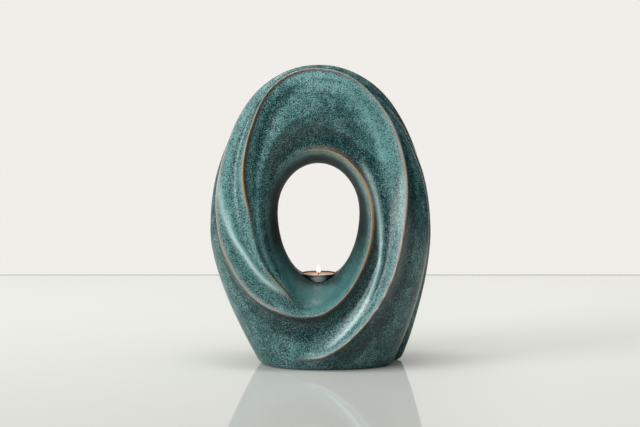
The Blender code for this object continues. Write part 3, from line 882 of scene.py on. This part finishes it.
def wax_material(look, middle):
    material, tree, shader, place = new_material("salmon_wax")
    flat = vectors(tree, "MULTIPLY", vectors(tree, "SUBTRACT", place, middle), (1, 1, 0))
    waves = maths(tree, "SUBTRACT", noise(tree, place, 5 * MM, 2.0), 0.5)
    out = maths(tree, "MULTIPLY_ADD", waves, 5 * MM, reach_of(tree, flat))
    melted = slope(tree, out, 7 * MM, 10 * MM, 1.0, 0.0)
    cloud = noise(tree, place, 2.2 * MM, 3.0, 0.6)
    shade = blend(tree, slope(tree, cloud, 0.3, 0.7), dim(look.wax, 0.86), look.wax)
    tree.fill(shader, {
        "Base Color": blend(tree, maths(tree, "MULTIPLY", melted, 0.5), shade, MELTED_WAX),
        "Roughness": maths(tree, "MULTIPLY_ADD", melted, -0.3, 0.48),
        # Painted light: a weak glow stands in for the flame's light in the wax
        "Emission Color": WAX_GLOW, "Emission Strength": 0.16, "Subsurface Weight": 0.3,
        "Subsurface Radius": (1.0, 0.45, 0.25), "Subsurface Scale": 2.0 * MM})
    raise_by(tree, shader, cloud, 0.15, 0.1 * MM)
    return material


def wick_material(look, tip):
    material, tree, shader, place = new_material("burnt_cotton")
    fibre = noise(tree, vectors(tree, "MULTIPLY", place, (1.0, 1.0, 0.3)), 0.25 * MM, 3.0, 0.6)
    charred = slope(tree, parts(tree, place)[2], tip - 4.6 * MM, tip - 3.2 * MM)
    shade = blend(tree, charred, COTTON, look.wick)
    tree.fill(shader, {"Base Color": blend(tree, maths(tree, "MULTIPLY", fibre, 0.5), shade, CHAR),
                       "Roughness": 0.9})
    raise_by(tree, shader, fibre, 0.5, 0.1 * MM)
    return material


def flame_material(bottom, top):
    material, tree, shader, place = new_material("candle_flame")
    flicker = maths(tree, "MULTIPLY_ADD", noise(tree, place, 3 * MM), 1.0 * MM, parts(tree, place)[2])
    warm = tree.add("ShaderNodeValToRGB", {"Fac": slope(tree, flicker, bottom, top)})
    stops = warm.color_ramp.elements
    stops.new(0.5)
    for stop, (where, tint) in zip(stops, FLAME_STOPS):
        stop.position, stop.color = where, tint
    tree.fill(shader, {"Base Color": warm.outputs[0], "Emission Color": warm.outputs[0],
                       "Emission Strength": 2.0, "Roughness": 1.0})
    return material


def table_material(look):
    """Pale polished table with painted light, a little brighter at the back and on the right, and a thin dark
    far edge.
    """
    material, tree, shader, place = new_material("pale_polished_table")
    cloud = noise(tree, place, 0.35, 2.0, 0.4)
    across, back, _ = parts(tree, place)
    edge = look.floor_back
    # Painted light: darker towards the front and brighter on the right
    body = blend(tree, slope(tree, back, -0.5, edge), dim(look.floor, 0.62), look.floor)
    body = blend(tree, slope(tree, across, 0.02, 0.25, 0.0, 0.25), body, (0.95, 0.97, 0.93))
    body = blend(tree, maths(tree, "MULTIPLY", cloud, 0.05), body, (0.5, 0.5, 0.5))
    line = slope(tree, back, edge - 16 * MM, edge - 10 * MM)
    tree.fill(shader, {"Base Color": blend(tree, line, body, dim(look.floor, 0.55)),
                       "Roughness": TABLE_ROUGHNESS, "IOR": TABLE_IOR})
    return material


# Operators, one for each piece or group of like pieces

def skin_tree(material):
    """Soft waves in the glaze, pressed into the surface where it is glazed."""
    tree, sizes, out = form_tree("glaze_waves", [
        ("Ripple Size", "NodeSocketFloat", 9.0 * MM), ("Ripple Height", "NodeSocketFloat", 0.2 * MM),
        ("Seed", "NodeSocketInt", 4)])
    moved = vectors(tree, "ADD", position(tree),
                    tree.add("ShaderNodeCombineXYZ", {"X": sizes["Seed"]}).outputs[0])
    wave = tree.add("ShaderNodeTexNoise", {"Vector": moved, "Detail": 1.5,
                                           "Scale": maths(tree, "DIVIDE", 1.0, sizes["Ripple Size"])})
    bare = tree.add("GeometryNodeInputNamedAttribute", {"Name": "bare"}, data_type="FLOAT").outputs[0]
    glazed = maths(tree, "SUBTRACT", 1.0, bare)
    depth = maths(tree, "MULTIPLY", maths(tree, "MULTIPLY", wave.outputs[0], sizes["Ripple Height"]), glazed)
    shift = scaled(tree, tree.add("GeometryNodeInputNormal").outputs[0], maths(tree, "MULTIPLY", depth, -1.0))
    pressed = tree.add("GeometryNodeSetPosition", {"Geometry": sizes["Geometry"], "Offset": shift})
    end_tree(tree, pressed.outputs[0], out, material)
    return tree


def read(items, name, width, kind=float):
    """One value of each of a mesh's vertices or edges, as rows of an array."""
    values = np.zeros(len(items) * width, kind)
    items.foreach_get(name, values)
    return values.reshape(-1, width)


def store(mesh, name, values):
    layer = mesh.attributes.new(name, "FLOAT", "POINT")
    layer.data.foreach_set("value", np.ascontiguousarray(values, np.float32))


def mark_glaze(obj, points, facings):
    """Store the glaze's breaks and painted light and shade per vertex, from the nearest point of the ring's
    grid.
    """
    tree = KDTree(len(points))
    for index, point in enumerate(points):
        tree.insert(point, index)
    tree.balance()
    co = read(obj.data.vertices, "co", 3)
    nearest, away = np.zeros(len(co), int), np.zeros(len(co))
    for index, point in enumerate(co):
        _, nearest[index], away[index] = tree.find(point)
    values = facings[nearest]
    off_skin = (away > OFF_SKIN) & (co[:, 2] > FOOT_ROUNDING) | (co[:, 2] < UNDERSIDE)
    from_candle = np.hypot(co[:, 0] - HOLE_OFFSET, co[:, 1])
    in_pocket = (from_candle < POCKET_RADIUS + GAP) & (np.abs(co[:, 2] - HOLE_FLOOR) < POCKET_DEPTH + GAP)
    from_fill = np.hypot(co[:, 0] - foot_middle(), co[:, 1])
    in_fill = (from_fill < FLANGE_RADIUS + GAP + 0.1 * MM) & (co[:, 2] < 3 * FOOT_ROUNDING)
    bare = ((off_skin | in_fill) & ~in_pocket).astype(float)
    values[in_pocket] = 0
    values[in_pocket, FACINGS.index("bore")] = 1.0
    values[bare > 0] = 0
    for name, column in (*zip(FACINGS, values.T), ("bare", bare)):
        store(obj.data, name, column)


def mark_hollows(obj):
    """Store how deep each vertex lies in a hollow, from the mesh smoothed over a few rounds."""
    mesh = obj.data
    co = read(mesh.vertices, "co", 3)
    a, b = read(mesh.edges, "vertices", 2, int).T
    degree = np.bincount(a, minlength=len(co)) + np.bincount(b, minlength=len(co))
    smooth = co.copy()
    for _ in range(HOLLOW_ROUNDS):
        total = np.stack([np.bincount(a, smooth[b, k], len(co)) + np.bincount(b, smooth[a, k], len(co))
                          for k in range(3)], -1)
        smooth = 0.3 * smooth + 0.7 * total / np.maximum(degree, 1)[:, None]
    sunk = ((smooth - co) * read(mesh.vertex_normals, "vector", 3)).sum(1)
    store(mesh, "hollow", np.clip(sunk / HOLLOW_DEPTH, 0, 1))


class URN_OT_ring(bpy.types.Operator):
    """Build the hollow glazed ring with its ridges, pocket and fill hole"""
    bl_idname = "urn.ring"
    bl_label = "Glazed ring"

    def execute(self, context):
        look = context.scene.urn_glaze
        glaze = glaze_material(look)
        outer, points, facings = ring_mesh(OUTER_ROWS, OUTER_COLUMNS, SKIN_INSET, (1.0, CREST_ROUNDING, 0.0))
        close_flat(outer, round_foot(outer))
        ring = new_object("glazed_ring", outer, glaze)

        inner, _, _ = ring_mesh(INNER_ROWS, INNER_COLUMNS, WALL, (INNER_SHARE, INNER_ROUNDING, INNER_SPREAD))
        close_flat(inner, cut_level(inner, FLOOR_WALL, True))
        cavity = new_object("cavity", inner)
        centre = (HOLE_OFFSET, 0.0)
        boss = new_object("pocket_boss", turned_mesh(
            [(0, POCKET_FLOOR - WALL), (POCKET_RADIUS + WALL, POCKET_FLOOR - WALL),
             (POCKET_RADIUS + WALL, HOLE_WAIST), (0, HOLE_WAIST)], middle=centre))
        subtract(cavity, boss)
        seat_top = FLANGE_TOP + GAP
        fill = new_object("fill_hole", turned_mesh(
            [(0, -CUT_MARGIN), (FLANGE_RADIUS + GAP, -CUT_MARGIN), (FLANGE_RADIUS + GAP, seat_top),
             (FILL_RADIUS, seat_top), (FILL_RADIUS, FLOOR_WALL + CUT_MARGIN), (0, FLOOR_WALL + CUT_MARGIN)],
            middle=(foot_middle(), 0.0)))
        subtract(cavity, fill, "UNION")
        settle(cavity)
        subtract(ring, cavity)
        pocket = new_object("candle_pocket", turned_mesh(
            [(0, POCKET_FLOOR), (POCKET_RADIUS, POCKET_FLOOR), (POCKET_RADIUS, HOLE_WAIST), (0, HOLE_WAIST)],
            middle=centre))
        subtract(ring, pocket)
        settle(ring)
        for cutter in (cavity, boss, fill, pocket):
            bpy.data.objects.remove(cutter, do_unlink=True)
        mark_glaze(ring, points, facings)
        mark_hollows(ring)
        grow(ring, skin_tree(glaze), {"Ripple Size": look.ripple_size, "Ripple Height": look.ripple_height,
                                      "Seed": look.seed})
        ring.data.set_sharp_from_angle(angle=radians(45))
        finish_piece(ring, "teal_glaze", "urn_body")
        return {"FINISHED"}


def grip_tree(material):
    """Small bars set round a circle, laid over the flange's underside."""
    tree, sizes, out = form_tree("flange_grips", [
        ("Grips", "NodeSocketInt", 36), ("Circle", "NodeSocketFloat", 24 * MM),
        ("Middle", "NodeSocketVector", (0, 0, 0)), ("Bar", "NodeSocketVector", (3 * MM, MM, MM))])
    circle = tree.add("GeometryNodeMeshCircle", {"Vertices": sizes["Grips"], "Radius": sizes["Circle"]})
    bar = tree.add("GeometryNodeMeshUVSphere", {"Segments": 12, "Rings": 8, "Radius": 0.5})
    bar = tree.add("GeometryNodeTransform", {"Geometry": bar.outputs[0], "Scale": sizes["Bar"]})
    turn = tree.add("FunctionNodeAlignEulerToVector", {"Vector": position(tree)}, axis="X")
    bars = tree.add("GeometryNodeInstanceOnPoints", {"Points": circle.outputs[0], "Instance": bar.outputs[0],
                                                     "Rotation": turn.outputs[0]})
    bars = tree.add("GeometryNodeTransform", {"Geometry": bars.outputs[0], "Translation": sizes["Middle"]})
    both = tree.add("GeometryNodeJoinGeometry")
    tree.put(both.inputs[0], sizes["Geometry"])
    tree.put(both.inputs[0], bars.outputs[0])
    end_tree(tree, both.outputs[0], out, material)
    return tree


class URN_OT_stopper(bpy.types.Operator):
    """Build the ribbed rubber stopper of the fill hole"""
    bl_idname = "urn.stopper"
    bl_label = "Stopper"

    def execute(self, context):
        look = context.scene.urn_stopper
        rubber = rubber_material(look)
        top = FLANGE_TOP + STOPPER_LENGTH
        sleeve = FILL_RADIUS - GAP
        dish = 16 * MM
        under = FLANGE_RECESS + 0.55 * MM
        profile = [(0, under + 0.6 * MM), (dish, under + 0.6 * MM, 1 * MM), (dish + 2 * MM, under, 1 * MM),
                   (FLANGE_RADIUS, under, 0.9 * MM), (FLANGE_RADIUS, FLANGE_TOP, 0.3 * MM),
                   (sleeve, FLANGE_TOP, 0.3 * MM)]
        pitch = (STOPPER_LENGTH - 4 * MM) / look.ribs
        for rib in range(look.ribs):
            height = FLANGE_TOP + 2 * MM + (rib + 0.5) * pitch
            neck = sleeve - 0.5 * MM
            profile += [(neck, height - 0.3 * pitch, 0.4 * MM),
                        (sleeve - 0.3 * MM + look.rib_rise, height, 0.5 * MM),
                        (neck, height + 0.3 * pitch, 0.4 * MM)]
        profile += [(sleeve - 0.8 * MM, top, 0.7 * MM), (sleeve - STOPPER_WALL, top, 0.7 * MM),
                    (sleeve - STOPPER_WALL, FLANGE_TOP, 1 * MM), (0, FLANGE_TOP)]
        middle = (foot_middle(), 0.0)
        stopper = new_object("ribbed_stopper", turned_mesh(rounded(profile, 0.3 * MM), middle=middle), rubber)
        grow(stopper, grip_tree(rubber), {
            "Grips": look.grips, "Circle": 22.5 * MM, "Middle": (*middle, under),
            "Bar": (6 * MM, 1.2 * MM, 0.9 * MM)})
        finish_piece(stopper, "stopper_rubber", "base_stopper")
        return {"FINISHED"}


def flute_tree(material):
    """Upright flutes pressed into a turned cup, deepest half way up its side."""
    tree, sizes, out = form_tree("cup_flutes", [
        ("Flutes", "NodeSocketFloat", 60.0), ("Depth", "NodeSocketFloat", 0.16 * MM),
        ("Middle", "NodeSocketVector", (0, 0, 0)), ("Side From", "NodeSocketFloat", 0.0),
        ("Side To", "NodeSocketFloat", 0.0), ("Radius", "NodeSocketFloat", CUP_RADIUS)])
    x, y, height = parts(tree, vectors(tree, "SUBTRACT", position(tree), sizes["Middle"]))
    turns = maths(tree, "MULTIPLY", maths(tree, "ARCTAN2", y, x), sizes["Flutes"])
    wave = maths(tree, "MULTIPLY_ADD", maths(tree, "COSINE", turns), 0.5, -0.5)
    up = slope(tree, height, sizes["Side From"], maths(tree, "ADD", sizes["Side From"], 2 * MM))
    down = slope(tree, height, maths(tree, "SUBTRACT", sizes["Side To"], 2 * MM), sizes["Side To"], 1.0, 0.0)
    flat = tree.add("ShaderNodeCombineXYZ", {"X": x, "Y": y}).outputs[0]
    radius = reach_of(tree, flat)
    wall = slope(tree, radius, maths(tree, "MULTIPLY", sizes["Radius"], 0.85),
                 maths(tree, "MULTIPLY", sizes["Radius"], 0.92))
    amount = maths(tree, "MULTIPLY", maths(tree, "MULTIPLY", up, down), maths(tree, "MULTIPLY", wave, wall))
    shift = scaled(tree, vectors(tree, "NORMALIZE", flat), maths(tree, "MULTIPLY", amount, sizes["Depth"]))
    pressed = tree.add("GeometryNodeSetPosition", {"Geometry": sizes["Geometry"], "Offset": shift})
    end_tree(tree, pressed.outputs[0], out, material)
    return tree


def strand_tree(material):
    """Strands twisted round one axis; each is a round cord on a helix."""
    tree, sizes, out = form_tree("twisted_strands", [
        ("Strands", "NodeSocketInt", 3), ("Twists", "NodeSocketFloat", 2.0),
        ("Height", "NodeSocketFloat", 5 * MM), ("Reach", "NodeSocketFloat", 0.4 * MM),
        ("Strand Radius", "NodeSocketFloat", 0.4 * MM), ("Foot", "NodeSocketVector", (0, 0, 0))])
    helix = tree.add("GeometryNodeCurveSpiral", {"Resolution": 24, "Rotations": sizes["Twists"],
                                                 "Start Radius": sizes["Reach"], "End Radius": sizes["Reach"],
                                                 "Height": sizes["Height"]})
    ring = tree.add("GeometryNodeCurvePrimitiveCircle", {"Resolution": 8, "Radius": sizes["Strand Radius"]})
    strand = tree.add("GeometryNodeCurveToMesh", {"Curve": helix.outputs[0], "Profile Curve": ring.outputs[0],
                                                  "Fill Caps": True})
    starts = tree.add("GeometryNodePoints", {"Count": sizes["Strands"]})
    index = tree.add("GeometryNodeInputIndex").outputs[0]
    turn = tree.add("ShaderNodeCombineXYZ", {
        "Z": maths(tree, "MULTIPLY", maths(tree, "DIVIDE", 2 * pi, sizes["Strands"]), index)})
    strands = tree.add("GeometryNodeInstanceOnPoints", {"Points": starts.outputs[0],
                                                        "Instance": strand.outputs[0],
                                                        "Rotation": turn.outputs[0]})
    stood = tree.add("GeometryNodeTransform", {"Geometry": strands.outputs[0], "Translation": sizes["Foot"]})
    end_tree(tree, stood.outputs[0], out, material)
    return tree


class URN_OT_candle(bpy.types.Operator):
    """Build the candle: fluted cup, wax, twisted wick and flame"""
    bl_idname = "urn.candle"
    bl_label = "Candle"

    def execute(self, context):
        look = context.scene.urn_candle
        middle = (HOLE_OFFSET, 0.0)
        cup_low, cup_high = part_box("tealight_cup")
        wax_low, wax_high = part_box("tealight_wax")
        _, wick_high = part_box("tealight_wick")
        base, rim = cup_low.z, cup_high.z
        bead = cup_high.x - HOLE_OFFSET
        foot = CUP_RADIUS - 0.7 * MM
        skin = 0.35 * MM
        side = [(foot + (CUP_RADIUS - foot) * part, base + (rim - base) * part, 0.0) for part in CUP_STEPS]
        profile = [(0, base + 0.25 * MM), (foot - 4 * MM, base + 0.25 * MM, 0.8 * MM),
                   (foot - 3 * MM, base, 0.5 * MM), (foot, base, 1.5 * MM), *side,
                   (bead, rim - 0.75 * MM, 0.3 * MM), (bead, rim, 0.35 * MM),
                   (CUP_RADIUS - 0.3 * MM, rim, 0.35 * MM),
                   *((out - skin, up, soft) for out, up, soft in side[::-1]),
                   (foot - skin, base + skin, 1.3 * MM), (0, base + skin + 0.25 * MM)]
        metal = metal_material(look)
        turned = turned_mesh(rounded(profile, 0.3 * MM), sides=240, middle=middle)
        cup = new_object("fluted_cup", turned, metal)
        grow(cup, flute_tree(metal), {
            "Flutes": float(look.flutes), "Depth": look.flute_depth, "Middle": (*middle, 0.0),
            "Side From": base + 1.0 * MM, "Side To": rim - 1.2 * MM})
        cup.data.set_sharp_from_angle(angle=radians(60))
        finish_piece(cup, "candle_metal", "tealight_cup")

        wide = wax_high.x - HOLE_OFFSET
        level = wax_high.z - 0.1 * MM
        wax_profile = [(0, wax_low.z), (wide - 1.2 * MM, wax_low.z, 0.8 * MM),
                       (wide, wax_low.z + 1.5 * MM, 0.8 * MM), (wide, wax_high.z, 0.12 * MM),
                       (wide - 0.5 * MM, level + 0.15 * MM, 0.4 * MM),
                       (wide - 1.8 * MM, level, 0.6 * MM), (10.5 * MM, level, 1.0 * MM),
                       (8.5 * MM, level - 0.25 * MM, 0.8 * MM), (1.6 * MM, level - 0.25 * MM, 0.5 * MM),
                       (0.6 * MM, level + 0.05 * MM, 0.3 * MM), (0, level + 0.05 * MM)]
        wax = new_object("candle_wax_fill", turned_mesh(rounded(wax_profile, 0.3 * MM), middle=middle),
                         wax_material(look, (*middle, 0.0)))
        finish_piece(wax, "candle_wax", "tealight_wax")

        wick_foot = level - 0.1 * MM
        cotton = wick_material(look, wick_high.z)
        wick = new_object("twisted_wick", bmesh.new(), cotton)
        grow(wick, strand_tree(cotton), {
            "Strands": look.strands, "Twists": look.twists, "Height": wick_high.z - 0.2 * MM - wick_foot,
            "Reach": 0.36 * MM, "Strand Radius": 0.42 * MM, "Foot": (*middle, wick_foot)})
        finish_piece(wick, "wick_cotton", "tealight_wick")

        low = wick_high.z - 4.2 * MM
        high = low + look.flame_height
        belly = 2.7 * MM
        flame_profile = [(0, low)]
        for step in range(1, 24):
            u = step / 24
            flame_profile.append((belly * sin(pi * u ** 0.62) * (1 - 0.35 * u), low + (high - low) * u))
        flame_profile.append((0, high))
        flame = new_object("candle_flame", turned_mesh(flame_profile, sides=32, middle=middle),
                           flame_material(low, high))
        finish_piece(flame, "wick_cotton")
        return {"FINISHED"}


def soft_light(name, target, watts, place, size, tint):
    light = bpy.data.lights.new(name, "AREA")
    light.shape = "RECTANGLE"
    light.size, light.size_y = size
    light.energy = watts
    light.color = tint
    obj = bpy.data.objects.new(name, light)
    bpy.context.scene.collection.objects.link(obj)
    obj.location = place
    obj.rotation_euler = (Vector(target) - Vector(place)).to_track_quat("-Z", "Y").to_euler()


class URN_OT_studio(bpy.types.Operator):
    """Build the floor, the light and the camera"""
    bl_idname = "urn.studio"
    bl_label = "Studio"

    def execute(self, context):
        look = context.scene.urn_studio
        bm = bmesh.new()
        corners = [(-FLOOR_SIDE, FLOOR_FRONT), (FLOOR_SIDE, FLOOR_FRONT),
                   (FLOOR_SIDE, look.floor_back), (-FLOOR_SIDE, look.floor_back)]
        top = [bm.verts.new((x, y, 0.0)) for x, y in corners]
        under = [bm.verts.new((x, y, -FLOOR_THICKNESS)) for x, y in corners]
        bm.faces.new(top)
        bm.faces.new(under[::-1])
        for k in range(4):
            bm.faces.new((top[k], under[k], under[(k + 1) % 4], top[(k + 1) % 4]))
        floor = new_object("polished_floor", bm, table_material(look))
        floor.data.shade_flat()

        world = bpy.data.worlds.new("warm_white_studio")
        context.scene.world = world
        world.use_nodes = True
        tree = Tree(world.node_tree)
        toward = parts(tree, tree.add("ShaderNodeTexCoord").outputs["Generated"])
        ray = tree.add("ShaderNodeLightPath").outputs
        sides = slope(tree, toward[0], -0.9, 0.4, look.room_left, look.room_right)
        room = maths(tree, "ADD", sides, slope(tree, toward[2], 0.3, 1.0, 0.0, look.ceiling))
        backdrop = maths(tree, "MULTIPLY", slope(tree, toward[1], 0.93, 0.97),
                         slope(tree, toward[2], 0.26, 0.34, 1.0, 0.0))
        mirrored = maths(tree, "MAXIMUM", maths(tree, "MULTIPLY", room, look.mirrored), backdrop)
        lit = tree.add("ShaderNodeMix", {0: ray["Is Glossy Ray"], 2: room, 3: mirrored}).outputs[0]
        tree.fill(world.node_tree.nodes["Background"], {
            "Color": look.wall, "Strength": maths(tree, "MAXIMUM", lit, ray["Is Camera Ray"])})
        context.scene.view_settings.view_transform = "Standard"

        aim = (0.0, 0.0, look.aim_height)
        soft_light("left_softbox", aim, look.key, *KEY_LIGHT)
        soft_light("right_softbox", aim, look.fill, *FILL_LIGHT)
        soft_light("top_softbox", aim, look.top, *TOP_LIGHT)

        lens = bpy.data.cameras.new("camera")
        lens.lens = look.lens
        lens.sensor_width = 36.0
        lens.shift_x = look.shift
        lens.clip_start, lens.clip_end = 0.05, 50.0
        camera = bpy.data.objects.new("camera", lens)
        context.scene.collection.objects.link(camera)
        camera.location = (0.0, -look.camera_distance, look.camera_height)
        camera.rotation_euler = (Vector(aim) - camera.location).to_track_quat("-Z", "Y").to_euler()
        context.scene.camera = camera
        return {"FINISHED"}


class URN_PT_sidebar(bpy.types.Panel):
    """Urn pieces and their settings"""
    bl_idname = "URN_PT_sidebar"
    bl_label = "Glazed Ring Urn"
    bl_space_type = "VIEW_3D"
    bl_region_type = "UI"
    bl_category = "Urn"

    def draw(self, context):
        for operator, settings in PIECES:
            box = self.layout.box()
            box.operator(operator.bl_idname)
            group = getattr(context.scene, settings)
            for name in group.__annotations__:
                box.prop(group, name)


SETTINGS = (("urn_glaze", UrnGlazeSettings), ("urn_stopper", UrnStopperSettings),
            ("urn_candle", UrnCandleSettings), ("urn_studio", UrnStudioSettings))
PIECES = ((URN_OT_ring, "urn_glaze"), (URN_OT_stopper, "urn_stopper"), (URN_OT_candle, "urn_candle"),
          (URN_OT_studio, "urn_studio"))
CLASSES = (*[group for _, group in SETTINGS], *[operator for operator, _ in PIECES], URN_PT_sidebar)


def register():
    for cls in CLASSES:
        bpy.utils.register_class(cls)
    for name, group in SETTINGS:
        setattr(bpy.types.Scene, name, PointerProperty(type=group))


def unregister():
    for name, _ in SETTINGS:
        delattr(bpy.types.Scene, name)
    for cls in reversed(CLASSES):
        bpy.utils.unregister_class(cls)


def main():
    register()
    bpy.ops.urn.ring()
    bpy.ops.urn.stopper()
    bpy.ops.urn.candle()
    bpy.ops.urn.studio()


if __name__ == "__main__":
    main()
